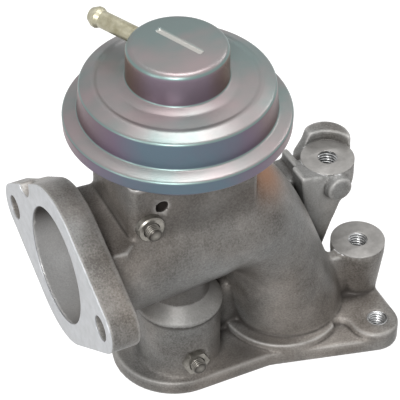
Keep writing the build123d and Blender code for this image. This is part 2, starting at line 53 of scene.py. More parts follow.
def turnOutwards(mesh):
    # the sum of a . (b x c) / 6 over a closed form's triangles is its volume: above zero when the faces turn outwards
    mesh.calc_loop_triangles()
    corners = np.array([triangle.vertices for triangle in mesh.loop_triangles])
    points = np.empty(len(mesh.vertices) * 3)
    mesh.vertices.foreach_get("co", points)
    a, b, c = (points.reshape(-1, 3)[corners[:, i]] for i in range(3))
    if np.einsum("ij,ij->", a, np.cross(b, c)) < 0:
        mesh.flip_normals()


def setLayer(piece, name, values):
    # one value at each point, which a material reads
    layer = piece.data.attributes.new(name, "FLOAT", "POINT")
    layer.data.foreach_set("value", np.asarray(values, np.float32).ravel())


def addMesh(name, points, faces, look, body="housing_body", sharpAngle=None):
    mesh = bpy.data.meshes.new(name)
    mesh.from_pydata(np.asarray(points, float).tolist(), [], [list(map(int, face)) for face in faces])
    mesh.update()
    turnOutwards(mesh)
    mesh.shade_smooth()
    if sharpAngle:
        mesh.set_sharp_from_angle(angle=math.radians(sharpAngle))
    piece = bpy.data.objects.new(name, mesh)
    bpy.context.collection.objects.link(piece)
    mesh.materials.append(look)
    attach(piece, body)
    return piece


def gridFaces(rows, columns, wrapRows=False, wrapColumns=True):
    # quads between neighbouring rows and columns of a grid of points, numbered row by row
    rowSteps = rows if wrapRows else rows - 1
    columnSteps = columns if wrapColumns else columns - 1
    i, j = np.meshgrid(np.arange(rowSteps), np.arange(columnSteps), indexing="ij")
    nextRow, nextColumn = (i + 1) % rows, (j + 1) % columns
    corners = [i * columns + j, i * columns + nextColumn, nextRow * columns + nextColumn, nextRow * columns + j]
    return np.stack(corners, axis=-1).reshape(-1, 4)


def rounded(corners, radii, steps=6):
    # a polyline with each inner corner swapped for an arc that touches both of its runs
    line = [np.array(corners[0], float)]
    for before, corner, after, radius in zip(corners, corners[1:], corners[2:], radii):
        before, corner, after = (np.array(p, float) for p in (before, corner, after))
        inward, outward = before - corner, after - corner
        inward, outward = inward / np.linalg.norm(inward), outward / np.linalg.norm(outward)
        half = math.acos(np.clip(inward @ outward, -1, 1)) / 2
        middle = (inward + outward) / np.linalg.norm(inward + outward)
        centre = corner + middle * radius / math.sin(half)
        start, end = (corner + way * radius / math.tan(half) - centre for way in (inward, outward))
        share = np.linspace(0, 1, steps)[:, None]
        spoke = start * (1 - share) + end * share
        line.extend(centre + spoke / np.linalg.norm(spoke, axis=1)[:, None] * radius)
    line.append(np.array(corners[-1], float))
    return np.array(line)


def offsetLine(line, distance):
    # each point of a line moved along the normal on its left
    step = np.gradient(line, axis=0)
    step /= np.linalg.norm(step, axis=1)[:, None]
    return line + distance * np.stack([-step[:, 1], step[:, 0]], axis=1)


def refined(line, longest):
    # the same line with its long runs divided
    parts = [line[:1]]
    for a, b in zip(line, line[1:]):
        count = max(1, math.ceil(np.linalg.norm(b - a) / longest))
        parts.append(a + (b - a) * np.linspace(0, 1, count + 1)[1:, None])
    return np.vstack(parts)


def lathe(profile, turns):
    # (radius, height) carried round Z: (r cos t, r sin t, z)
    angle = np.linspace(0, 2 * math.pi, turns, endpoint=False)
    radius, height = profile[:, 0:1], profile[:, 1:2]
    x, y = radius * np.cos(angle), radius * np.sin(angle)
    return np.stack([x, y, height + 0 * x], axis=-1).reshape(-1, 3)


def closedShell(profile, turns=128):
    # a closed profile carried round Z, its faces turned outwards
    points = lathe(profile, turns)
    faces = gridFaces(len(profile), turns, wrapRows=True)
    area = np.sum(profile[:, 0] * np.roll(profile[:, 1], -1) - np.roll(profile[:, 0], -1) * profile[:, 1])
    return points, faces if area < 0 else faces[:, ::-1]


def cappedRings(rings, turns):
    # faces of rings of points between two poles; the poles are the first point and the last
    faces = (gridFaces(rings, turns) + 1)[:, ::-1].tolist()
    last = 1 + (rings - 1) * turns
    for i in range(turns):
        j = (i + 1) % turns
        faces.append([0, 1 + i, 1 + j])
        faces.append([last + turns, last + j, last + i])
    return faces


def turnedSolid(profile, turns):
    # a line from the axis out and back to the axis carried round Z: one point at each pole, rings between them
    points = np.vstack([[[0, 0, profile[0, 1]]], lathe(profile[1:-1], turns), [[0, 0, profile[-1, 1]]]])
    return points, cappedRings(len(profile) - 2, turns)


def material(name, metallic, roughness):
    made = bpy.data.materials.new(name)
    made.use_nodes = True
    shader = made.node_tree.nodes["Principled BSDF"]
    shader.inputs["Metallic"].default_value = metallic
    shader.inputs["Roughness"].default_value = roughness
    return made, made.node_tree.nodes, made.node_tree.links, shader


def objectNoise(nodes, links, scale, detail, roughness, stretch=(1, 1, 1)):
    where = nodes.new("ShaderNodeTexCoord")
    mapping = nodes.new("ShaderNodeMapping")
    mapping.inputs["Scale"].default_value = stretch
    noise = nodes.new("ShaderNodeTexNoise")
    noise.inputs["Scale"].default_value = scale
    noise.inputs["Detail"].default_value = detail
    noise.inputs["Roughness"].default_value = roughness
    links.new(where.outputs["Object"], mapping.inputs["Vector"])
    links.new(mapping.outputs["Vector"], noise.inputs["Vector"])
    return noise.outputs["Fac"]


def mathNode(nodes, links, operation, *values):
    node = nodes.new("ShaderNodeMath")
    node.operation = operation
    for socket, value in zip(node.inputs, values):
        if isinstance(value, (int, float)):
            socket.default_value = value
        else:
            links.new(value, socket)
    return node.outputs[0]


def scaled(nodes, links, value, factor):
    return mathNode(nodes, links, "MULTIPLY", value, factor)


def smoothShare(nodes, links, value, low, high):
    # 0 below low, 1 above high and a smooth step between
    node = nodes.new("ShaderNodeMapRange")
    node.interpolation_type = "SMOOTHSTEP"
    node.inputs["From Min"].default_value = low
    node.inputs["From Max"].default_value = high
    links.new(value, node.inputs["Value"])
    return node.outputs["Result"]


def ramp(nodes, links, factor, stops):
    node = nodes.new("ShaderNodeValToRGB")
    elements = node.color_ramp.elements
    while len(elements) < len(stops):
        elements.new(0.5)
    for element, (place, colour) in zip(elements, stops):
        element.position = place
        element.color = (*colour, 1)
    links.new(factor, node.inputs["Fac"])
    return node.outputs["Color"]


def mixed(nodes, links, factor, first, second, blend="MIX"):
    # first goes over to second by the factor; each may be a number, a colour or another node's output
    node = nodes.new("ShaderNodeMix")
    node.data_type = "RGBA"
    node.blend_type = blend
    for name, value in (("Factor", factor), ("A", first), ("B", second)):
        kind = "VALUE" if name == "Factor" else "RGBA"
        socket = next(s for s in node.inputs if s.name == name and s.type == kind)
        if isinstance(value, (int, float)):
            socket.default_value = value
        elif isinstance(value, tuple):
            socket.default_value = (*value, 1)
        else:
            links.new(value, socket)
    return next(s for s in node.outputs if s.type == "RGBA")


def bumped(nodes, links, shader, height, strength, distance):
    node = nodes.new("ShaderNodeBump")
    node.inputs["Strength"].default_value = strength
    node.inputs["Distance"].default_value = distance
    links.new(height, node.inputs["Height"])
    links.new(node.outputs["Normal"], shader.inputs["Normal"])


def attribute(nodes, name):
    node = nodes.new("ShaderNodeAttribute")
    node.attribute_name = name
    return node.outputs["Fac"]


def castMetal():
    # broad and fine noise mixed between dark and light, drifting from cool to warm, with the attributes' tones over it:
    # painted shade, a painted warm reflection of the cover, the machined faces with painted light in the bore, and
    # light edges that are partly wear and partly painted highlight
    look = {
        "metallic": 0.18, "specular": 0.15, "roughness": 0.30,
        "tones": [(0.34, (0.088, 0.081, 0.073)), (0.66, (0.275, 0.264, 0.250))],
        "tints": [(0.38, (0.95, 0.99, 1.02)), (0.62, (1.04, 0.99, 0.95))],
        "paintedWarmReflection": (0.44, 0.22, 0.12), "hollow": (0.035, 0.030, 0.027), "edge": (0.62, 0.61, 0.59),
        "machinedAndLit": (0.56, 0.56, 0.56), "blotchShare": 0.6, "grainShare": 0.4,
        "blotch": (55, 4, 0.6), "grain": (1500, 2, 0.7), "drift": (24, 3, 0.5), "pits": (1300, 3, 0.7),
        "blotchRoughness": 0.16, "cutSmoother": 0.12, "cutFlatter": 0.8, "bump": (0.5, 0.0003)}
    made, nodes, links, shader = material("castAluminium", look["metallic"], look["roughness"])
    shader.inputs["Specular IOR Level"].default_value = look["specular"]
    blotch = objectNoise(nodes, links, *look["blotch"])
    grain = objectNoise(nodes, links, *look["grain"])
    tone = mathNode(nodes, links, "ADD", scaled(nodes, links, blotch, look["blotchShare"]),
                    scaled(nodes, links, grain, look["grainShare"]))
    cast = ramp(nodes, links, tone, look["tones"])
    tint = ramp(nodes, links, objectNoise(nodes, links, *look["drift"]), look["tints"])
    cast = mixed(nodes, links, 1.0, cast, tint, "MULTIPLY")
    for name in ("paintedWarmReflection", "hollow", "edge"):
        cast = mixed(nodes, links, attribute(nodes, name), cast, look[name])
    cut = attribute(nodes, "machinedAndLit")
    links.new(mixed(nodes, links, cut, cast, look["machinedAndLit"]), shader.inputs["Base Color"])
    rough = mathNode(nodes, links, "ADD", look["roughness"], scaled(nodes, links, blotch, look["blotchRoughness"]))
    rough = mathNode(nodes, links, "SUBTRACT", rough, scaled(nodes, links, cut, look["cutSmoother"]))
    links.new(rough, shader.inputs["Roughness"])
    pits = objectNoise(nodes, links, *look["pits"])
    calm = mathNode(nodes, links, "SUBTRACT", 1.0, scaled(nodes, links, cut, look["cutFlatter"]))
    bumped(nodes, links, shader, mathNode(nodes, links, "MULTIPLY", pits, calm), *look["bump"])
    return made


def howFarAlong(nodes, links, vector, way):
    # how far a vector goes along a fixed way: their dot product
    node = nodes.new("ShaderNodeVectorMath")
    node.operation = "DOT_PRODUCT"
    node.inputs[1].default_value = way
    links.new(vector, node.inputs[0])
    return node.outputs["Value"]


def zincSheet():
    # passivated zinc: the film's colour follows how far the sheet leans, and on the walls how it faces round the case;
    # the walls are also painted darker than the level faces, a painted shade, and the level faces are lighter towards
    # the front, a painted highlight
    look = {
        "metallic": 0.6, "roughness": 0.30, "fineRoughness": 0.14, "fine": (900, 3, 0.6), "bump": (0.16, 0.0001),
        "drift": (38, 3, 0.6), "faceDrift": 0.7, "leanDrift": 0.15, "front": (-0.44, -0.90, 0.0),
        "wall": [(0.10, (0.140, 0.090, 0.092)), (0.55, (0.125, 0.094, 0.135)), (0.92, (0.085, 0.125, 0.158))],
        "cupWall": [(0.15, (0.135, 0.084, 0.062)), (0.80, (0.165, 0.128, 0.162))], "cupRadius": (0.019, 0.024),
        "level": [(0.36, (0.190, 0.238, 0.230)), (0.50, (0.245, 0.238, 0.234)), (0.64, (0.295, 0.245, 0.248))],
        "patch": (30, 3, 0.55, (1, 1.4, 1.2)), "highlightWay": (0.05, -1.0, 0.0), "highlightFrom": (-0.020, 0.036),
        "shadedBack": (0.70, 0.71, 0.72), "bend": (0.15, 0.22, 0.21), "bendFrom": (0.20, 0.50), "levelFrom": (0.55, 0.85),
        "slot": (0.47, 0.46, 0.43), "slotShare": 0.8}
    made, nodes, links, shader = material("zincSheet", look["metallic"], look["roughness"])
    where = nodes.new("ShaderNodeTexCoord")
    split = nodes.new("ShaderNodeSeparateXYZ")
    links.new(where.outputs["Normal"], split.inputs[0])
    facing = howFarAlong(nodes, links, where.outputs["Normal"], look["front"])
    drift = mathNode(nodes, links, "SUBTRACT", objectNoise(nodes, links, *look["drift"]), 0.5)
    turned = mathNode(nodes, links, "ADD", mathNode(nodes, links, "MULTIPLY", facing, facing),
                      scaled(nodes, links, drift, look["faceDrift"]))
    wall, cupWall = (ramp(nodes, links, turned, look[name]) for name in ("wall", "cupWall"))
    flatWay = nodes.new("ShaderNodeVectorMath")
    flatWay.operation = "MULTIPLY"
    flatWay.inputs[1].default_value = (1, 1, 0)
    links.new(where.outputs["Object"], flatWay.inputs[0])
    out = nodes.new("ShaderNodeVectorMath")
    out.operation = "LENGTH"
    links.new(flatWay.outputs[0], out.inputs[0])
    wall = mixed(nodes, links, smoothShare(nodes, links, out.outputs["Value"], *look["cupRadius"]), cupWall, wall)
    level = ramp(nodes, links, objectNoise(nodes, links, *look["patch"]), look["level"])
    forward = howFarAlong(nodes, links, where.outputs["Object"], look["highlightWay"])    # painted highlight: the level faces are lighter towards the front and darker towards the back
    frontHighlight = smoothShare(nodes, links, forward, *look["highlightFrom"])
    level = mixed(nodes, links, mathNode(nodes, links, "SUBTRACT", 1.0, frontHighlight), level, look["shadedBack"], "MULTIPLY")
    lean = mathNode(nodes, links, "ADD", split.outputs["Z"], scaled(nodes, links, drift, look["leanDrift"]))
    film = mixed(nodes, links, smoothShare(nodes, links, lean, *look["bendFrom"]), wall, look["bend"])
    film = mixed(nodes, links, smoothShare(nodes, links, lean, *look["levelFrom"]), film, level)
    film = mixed(nodes, links, scaled(nodes, links, attribute(nodes, "pressed"), look["slotShare"]), film, look["slot"])
    links.new(film, shader.inputs["Base Color"])
    fine = objectNoise(nodes, links, *look["fine"])
    rough = mathNode(nodes, links, "ADD", look["roughness"], scaled(nodes, links, fine, look["fineRoughness"]))
    links.new(rough, shader.inputs["Roughness"])
    bumped(nodes, links, shader, fine, *look["bump"])
    return made


plain = {"noise": (4, 0.6), "darkAt": 0.3, "lightAt": 0.7, "smoother": 0.06, "rougher": 0.14, "bumpDepth": 0.0001}


def plainMetal(name, dark, light, metallic, roughness, scale=400, bump=0.15, groove=None):
    # one noise sets the tone between dark and light, the roughness and the bump; grooves take a dark tone of their own,
    # a painted shade in the thread roots
    made, nodes, links, shader = material(name, metallic, roughness)
    tone = objectNoise(nodes, links, scale, *plain["noise"])
    colour = ramp(nodes, links, tone, [(plain["darkAt"], dark), (plain["lightAt"], light)])
    if groove:
        colour = mixed(nodes, links, attribute(nodes, "groove"), colour, groove)
    links.new(colour, shader.inputs["Base Color"])
    rough = mathNode(nodes, links, "ADD", roughness - plain["smoother"], scaled(nodes, links, tone, plain["rougher"]))
    links.new(rough, shader.inputs["Roughness"])
    bumped(nodes, links, shader, tone, bump, plain["bumpDepth"])
    return made


castLook = castMetal()
zincLook = zincSheet()
yellowLook = plainMetal("yellowZinc", (0.25, 0.23, 0.15), (0.45, 0.43, 0.33), 0.7, 0.36, 260)
# the groove colours of the stud and thread looks are painted shade in the thread roots
studLook = plainMetal("studSteel", (0.15, 0.14, 0.122), (0.30, 0.285, 0.255), 0.7, 0.34, 500,
                      groove=(0.04, 0.035, 0.03))
threadLook = plainMetal("cutThread", (0.55, 0.56, 0.56), (0.78, 0.78, 0.78), 0.85, 0.30, 700,
                        groove=(0.04, 0.04, 0.04))
faceLook = plainMetal("milledFace", (0.40, 0.41, 0.42), (0.51, 0.52, 0.54), 0.30, 0.40, 260, 0.08)
machinedLook = plainMetal("turnedFace", (0.22, 0.213, 0.203), (0.31, 0.30, 0.287), 0.4, 0.36, 260, 0.08)
screwLook = plainMetal("screwSteel", (0.36, 0.36, 0.36), (0.56, 0.56, 0.55), 0.9, 0.32)
valveLook = plainMetal("valveSteel", (0.40, 0.39, 0.37), (0.54, 0.53, 0.51), 0.95, 0.25)
seatLook = plainMetal("seatSteel", (0.36, 0.34, 0.31), (0.50, 0.48, 0.45), 0.9, 0.33)
bronzeLook = plainMetal("bushBronze", (0.42, 0.30, 0.15), (0.60, 0.46, 0.26), 0.9, 0.33)
plateLook = plainMetal("plateSteel", (0.44, 0.43, 0.38), (0.60, 0.60, 0.58), 0.85, 0.34, 180)
springLook = plainMetal("springSteel", (0.28, 0.28, 0.28), (0.44, 0.44, 0.44), 0.95, 0.3)
sealLook = plainMetal("sealRubber", (0.035, 0.034, 0.033), (0.06, 0.058, 0.056), 0.0, 0.6, 600)
gasketLook = plainMetal("gasketFibre", (0.10, 0.09, 0.08), (0.19, 0.175, 0.16), 0.0, 0.8, 900, 0.4)
rubberLook = plainMetal("diaphragmRubber", (0.05, 0.05, 0.05), (0.09, 0.088, 0.085), 0.0, 0.65, 900, 0.3)
print("materials ready")

nodeLooks = {
    "valve_seat": seatLook, "valve_head": valveLook, "valve_stem": valveLook, "guide_bush": bronzeLook,
    "stem_seal": sealLook, "seal_retainer": screwLook, "case_gasket": gasketLook, "case_screws": screwLook,
    "diaphragm": rubberLook, "plate_upper": plateLook, "plate_lower": plateLook, "plate_washer": screwLook,
    "stem_nut": screwLook, "return_spring": springLook, "block_nut": studLook, "boss_nut": studLook,
    "block_stud": studLook, "boss_stud": studLook, "lower_case": zincLook, "vacuum_nipple": yellowLook}
for nodeName, look in nodeLooks.items():
    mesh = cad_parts[nodeName].data
    mesh.materials.clear()
    mesh.materials.append(look)

# The casting is the CAD solid's distance field, with its edges broken and its corners filled; sigmas are in voxels.
casting = {"voxel": 0.6 * mm, "reach": 7, "edge": 0.8, "corner": 1.6, "shade": 5.0, "sharpEdge": 0.8,
           "adaptivity": 0.02, "skim": 0.25 * mm, "skimAround": 0.1 * mm, "flangeX": -46 * mm, "blockTop": 104 * mm}
posts = {"low": (74.7 * mm, 1.7 * mm, 29 * mm, 10.2 * mm), "high": (69.6 * mm, 18.6 * mm, 58 * mm, 10.0 * mm),
         "lobe": (72.2 * mm, -19.9 * mm, 8.5 * mm, 6.0 * mm)}    # x, y, top, radius
milledPosts = ("low", "high")
tapDepths = {"low": 13.0 * mm, "high": 8.8 * mm, "lobe": 9.5 * mm}
threadScale = {"low": 1.0, "high": 1.15, "lobe": 0.9}
tapRadius = 4.1 * mm    # outside of the thread's own piece
armFront = {"y": (9.2 * mm, 18 * mm), "outline": [(58.8, 18), (62.0, 18), (70.4, 43.7), (72.0, 56.0), (54.0, 59.8)]}
apron = {"centre": (43.5 * mm, 2.5 * mm), "radius": 22.9 * mm, "bottom": 1.0 * mm, "top": 8.6 * mm, "right": 56 * mm}
bossLip = {"radius": 16.0 * mm, "bottom": 31.5 * mm, "top": 32.7 * mm, "neck": 10.8 * mm, "neckTop": 37.6 * mm,
           "inside": 9.0 * mm}
flange = {"axisHeight": 66 * mm, "tilt": math.radians(-5.8), "half": 38 * mm, "hole": 4.5 * mm, "bore": 21 * mm,
          "ear": 8.8 * mm, "hub": 28.6 * mm}
notch = {"along": 26.5 * mm, "radius": 6.0 * mm, "out": 1.4 * mm, "deep": 5.0 * mm}
vent = {"x": -13.8 * mm, "z": 93.7 * mm, "radius": 2.4 * mm, "front": -16.6 * mm}
studs = {
    "block": {"root": (-18.8 * mm, -17.0 * mm, 87.4 * mm), "radius": 2.65 * mm, "length": 5.9 * mm, "pitch": 0.8 * mm},
    "boss": {"root": (-0.5 * mm, -14.2 * mm, 13.2 * mm), "radius": 2.65 * mm, "length": 5.4 * mm, "pitch": 0.8 * mm}}
sharpReach = {"face": 1.0 * mm, "mouth": 1.2 * mm, "boreDeep": 3 * mm, "boltDeep": 12 * mm, "postEdge": 1.5 * mm,
              "tap": 5.2 * mm, "vent": 3.4 * mm, "ventY": -14 * mm, "nutSeat": 6.5 * mm,
              "nutY": (-17.5 * mm, -12.5 * mm)}


def blurred(field, sigma):
    # one axis after another, each cell weighted by e to the minus half its squared distance in sigmas
    reach = math.ceil(2.5 * sigma)    # further out the weights are next to nothing
    weights = np.exp(-0.5 * (np.arange(-reach, reach + 1) / sigma) ** 2)
    weights /= weights.sum()
    for axis in range(3):
        padded = np.pad(field, [(reach, reach) if i == axis else (0, 0) for i in range(3)], mode="edge")
        length = field.shape[axis]
        field = sum(weight * np.take(padded, range(k, k + length), axis=axis) for k, weight in enumerate(weights))
    return field.astype(np.float32)


def smoothStep(value, low, high):
    # 0 below low, 1 above high, and 3 s^2 - 2 s^3 of the share s between them
    share = np.clip((value - low) / (high - low), 0, 1)
    return share * share * (3 - 2 * share)


def between(value, span):
    return (value > span[0]) & (value < span[1])


def sampled(field, low, points):
    # the field read between its grid points, weighted by nearness
    place = points / casting["voxel"] - low
    base = np.clip(np.floor(place).astype(int), 0, np.array(field.shape) - 2)
    part = place - base
    total = 0
    for corner in np.ndindex(2, 2, 2):
        weight = np.prod(np.where(corner, part, 1 - part), axis=1)
        total = total + weight * field[tuple((base + corner).T)]
    return total


def alongFlange(y, z):
    # distances along and across the flange's bolt line
    c, s = math.cos(flange["tilt"]), math.sin(flange["tilt"])
    return -c * y - s * (z - flange["axisHeight"]), s * y - c * (z - flange["axisHeight"])


def notchCentre():
    # on the flange's drawing plane, a set distance outside the straight side that joins an ear to the hub
    spread = math.asin((flange["hub"] - flange["ear"]) / flange["half"])
    side = (flange["hub"] - notch["along"] * math.sin(spread)) / math.cos(spread)
    return spread, np.array([-notch["along"], -side - notch["out"]])


def solidField():
    # the CAD housing's signed distance on a grid, the grid's first cell, and the places of its cells
    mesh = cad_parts["housing"].data
    points = np.empty(len(mesh.vertices) * 3, np.float32)
    mesh.vertices.foreach_get("co", points)
    mesh.calc_loop_triangles()
    corners = np.empty(len(mesh.loop_triangles) * 3, np.int32)
    mesh.loop_triangles.foreach_get("vertices", corners)
    grid = openvdb.FloatGrid.createLevelSetFromPolygons(
        points.reshape(-1, 3).astype(float), triangles=corners.reshape(-1, 3).astype(np.uint32),
        transform=openvdb.createLinearTransform(casting["voxel"]), halfWidth=casting["reach"])
    low, high = (np.array(corner) for corner in grid.evalActiveVoxelBoundingBox())
    field = np.empty(high - low + 1, np.float32)
    grid.copyToArray(field, ijk=tuple(int(v) for v in low))
    axes = np.ogrid[tuple(slice(0, n) for n in field.shape)]
    return field, low, [(axis + start) * casting["voxel"] for axis, start in zip(axes, low)]


def grownForms(field, x, y, z):
    # a disc for the leg's raised apron, a cone for the lip round the boss's shoulder, a five-sided slab for the arm
    fromLeg = np.hypot(x - apron["centre"][0], y - apron["centre"][1]) - apron["radius"]
    disc = np.maximum(np.maximum(fromLeg, z - apron["top"]), np.maximum(apron["bottom"] - z, x - apron["right"]))
    slope = (bossLip["radius"] - bossLip["neck"]) / (bossLip["neckTop"] - bossLip["top"])
    cone = (np.hypot(x, y) - bossLip["radius"] + slope * np.maximum(z - bossLip["top"], 0)) / math.hypot(1, slope)
    lip = np.maximum(np.maximum(cone, bossLip["bottom"] - z), z - bossLip["neckTop"])
    lip = np.maximum(lip, bossLip["inside"] - np.hypot(x, y))
    field = np.minimum(field, np.minimum(disc, lip)).astype(np.float32)
    plate = np.maximum(armFront["y"][0] - y, y - armFront["y"][1])
    outline = np.array(armFront["outline"]) * mm
    for (x1, z1), (x2, z2) in zip(outline, np.roll(outline, -1, axis=0)):
        plate = np.maximum(plate, ((z2 - z1) * (x - x1) - (x2 - x1) * (z - z1)) / math.hypot(x2 - x1, z2 - z1))
    return np.minimum(field, plate).astype(np.float32)


def sharpPlaces(x, y, z):
    # where the field isn't smoothed: cut faces and the mouths of holes
    near = sharpReach
    across, upright = alongFlange(y, z)
    sharp = (x < casting["flangeX"] + near["face"]) | (z > casting["blockTop"] - near["face"])
    bore = np.hypot(across, upright) < flange["bore"] + near["mouth"]
    sharp = sharp | (bore & (x < casting["flangeX"] + near["boreDeep"]))
    for side in (-1, 1):
        bolt = np.hypot(across - side * flange["half"], upright) < flange["hole"] + near["mouth"]
        sharp = sharp | (bolt & (x < casting["flangeX"] + near["boltDeep"]))
    for postX, postY, top, radius in posts.values():
        away = np.hypot(x - postX, y - postY)
        sharp = sharp | ((np.abs(z - top) < near["mouth"]) & (away < radius + near["postEdge"]))
        sharp = sharp | ((away < near["tap"]) & (z < top + mm))
    sharp = sharp | ((np.hypot(x - vent["x"], z - vent["z"]) < near["vent"]) & (y < near["ventY"]))
    nutX, nutZ = studs["boss"]["root"][0], studs["boss"]["root"][2]
    seat = np.hypot(x - nutX, z - nutZ) < near["nutSeat"]
    return sharp | (seat & between(y, near["nutY"]))


def cutRoom(field, x, y, z):
    # room for the threads' sleeves and for the faces' own pieces, and the scallop in the flange's edge
    for name, (postX, postY, top, radius) in posts.items():
        away, above = np.hypot(x - postX, y - postY), z - top - mm
        hole = np.maximum(np.maximum(away - tapRadius * threadScale[name], top - tapDepths[name] - z), above)
        field = np.maximum(field, -hole)
        if name in milledPosts:
            skim = np.maximum(np.maximum(away - radius - casting["skimAround"], top - casting["skim"] - z), above)
            field = np.maximum(field, -skim)
    field = np.maximum(field, casting["flangeX"] + casting["skim"] - x)
    across, upright = alongFlange(y, z)
    spread, centre = notchCentre()
    scallop = np.hypot(across - centre[0], upright - centre[1]) - notch["radius"]
    return np.maximum(field, -np.maximum(scallop, x - casting["flangeX"] - notch["deep"]))


# How the casting is toned: spans are from none to full, shares are the most that a tone may reach.
tones = {
    # the corners' share and the neck, under, lip, pocket, block and bore roof entries set painted shade; the cone and
    # arm entries set painted light
    "bend": (0.15, 0.8), "broadBend": (0.2, 1.8), "hollow": 0.85, "edgeBend": (0.25, 0.8), "edge": 0.45,
    "face": {"lean": 0.9, "near": 0.4 * mm, "around": 0.3 * mm}, "rim": {"near": 0.8 * mm, "around": 1.5 * mm},
    "bore": {"around": 0.5 * mm, "x": (-40 * mm, -12 * mm), "cut": 0.45, "rise": (-6 * mm, 10 * mm), "roof": 0.95},
    "neck": {"radius": (11.0 * mm, 14.0 * mm), "z": (33 * mm, 46 * mm), "share": 0.55},
    "under": {"lean": (0.35, 0.8), "radius": 27 * mm, "z": (36 * mm, 60 * mm), "share": 0.9},
    "lip": {"radius": 15.6 * mm, "half": 1.0 * mm, "z": (29.6 * mm, 30.9 * mm), "top": 31.5 * mm, "share": 0.8},
    "pocket": {"centre": (24 * mm, -12 * mm), "size": (9 * mm, 8 * mm), "top": 9 * mm, "share": 0.5},
    "block": {"y": -17 * mm, "away": (-1.2 * mm, -0.5 * mm), "lean": (0.8, 0.97), "z": (74 * mm, 84 * mm),
              "share": 0.45},
    # a painted warm reflection of the zinc cover on the elbow's top
    "paintedWarmReflection": {"centre": (31 * mm, -5 * mm, 86 * mm), "size": (8 * mm, 11 * mm, 8 * mm), "share": 0.8},
    "cone": {"radius": (11 * mm, 16.2 * mm), "lean": 0.3, "z": (31.5 * mm, 38 * mm), "share": 0.55},
    "arm": {"y": 9.3 * mm, "half": 0.8 * mm, "lean": 0.8, "x": 54 * mm, "z": 20 * mm, "share": 0.45}}


def bellPatch(places, patch):
    # e to the minus squared distance from the patch's centre, each axis measured by its own size
    parts = zip(places, patch["centre"], patch["size"])
    return np.exp(-sum(((value - centre) / size) ** 2 for value, centre, size in parts)) * patch["share"]


def cutAndLitTone(x, y, z, normals, inBore, roof):
    # the flange's face, the milled posts' tops, the base's and the block's faces, and part of the bore, whose lower
    # wall near the mouth is lightened as painted light, fading out under its roof
    face, bore = tones["face"], tones["bore"]
    cut = (x < casting["flangeX"] + face["near"]) & (normals[:, 0] < -face["lean"])
    for postX, postY, top, radius in (posts[name] for name in milledPosts):
        onTop = (np.hypot(x - postX, y - postY) < radius + face["around"]) & (np.abs(z - top) < face["near"])
        cut = cut | (onTop & (normals[:, 2] > face["lean"]))
    cut = (cut | (z < face["around"]) | (z > casting["blockTop"] - face["around"])).astype(np.float32)
    return np.maximum(cut, inBore * bore["cut"] * (1 - smoothStep(x, *bore["x"])) * (1 - roof))


def hollowTone(x, y, z, normals, bend, broadBend, roof):
    # painted shade: corners are dark; darker still are the vent, the neck under the pipe, the pipe's underside, below
    # the boss's lip and its pocket, the bore's roof and the block's front
    fromBoss = np.hypot(x, y)
    neck, under, lip, pocket, block = (tones[name] for name in ("neck", "under", "lip", "pocket", "block"))
    inVent = np.hypot(x - vent["x"], z - vent["z"]) < vent["radius"]
    shades = [
        smoothStep(bend, *tones["bend"]) * tones["hollow"],
        smoothStep(broadBend, *tones["broadBend"]) * tones["hollow"],
        inVent & between(y, (vent["front"], 0)),
        (1 - smoothStep(fromBoss, *neck["radius"])) * between(z, neck["z"]) * neck["share"],
        smoothStep(-normals[:, 2], *under["lean"]) * (fromBoss < under["radius"]) * between(z, under["z"])
        * under["share"],
        (np.abs(fromBoss - lip["radius"]) < lip["half"]) * smoothStep(z, *lip["z"]) * (z < lip["top"]) * lip["share"],
        bellPatch((x, y), pocket) * (z < pocket["top"]),
        roof * tones["bore"]["roof"],
        smoothStep(-np.abs(y - block["y"]), *block["away"]) * smoothStep(-normals[:, 1], *block["lean"])
        * smoothStep(z, *block["z"]) * block["share"]]
    return np.maximum.reduce([np.asarray(shade, float) for shade in shades])


def wearAndPaintedLightTone(x, y, z, normals, bend):
    # convex edges are light, partly wear and partly painted highlight, apart from those of the posts' own faces; the
    # boss's cone and the arm's front are lightened as painted light
    wearAndHighlight = smoothStep(-bend, *tones["edgeBend"])
    rim, cone, arm = tones["rim"], tones["cone"], tones["arm"]
    for postX, postY, top, radius in posts.values():
        wearAndHighlight[(np.hypot(x - postX, y - postY) < radius + rim["around"]) & (np.abs(z - top) < rim["near"])] = 0
    onCone = between(np.hypot(x, y), cone["radius"]) & (normals[:, 2] > cone["lean"]) & between(z, cone["z"])
    onArm = (np.abs(y - arm["y"]) < arm["half"]) & (normals[:, 1] < -arm["lean"]) & (x > arm["x"]) & (z > arm["z"])
    wearAndHighlight = np.maximum(wearAndHighlight, np.where(onCone, cone["share"], np.where(onArm, arm["share"], 0)))
    return wearAndHighlight * tones["edge"]


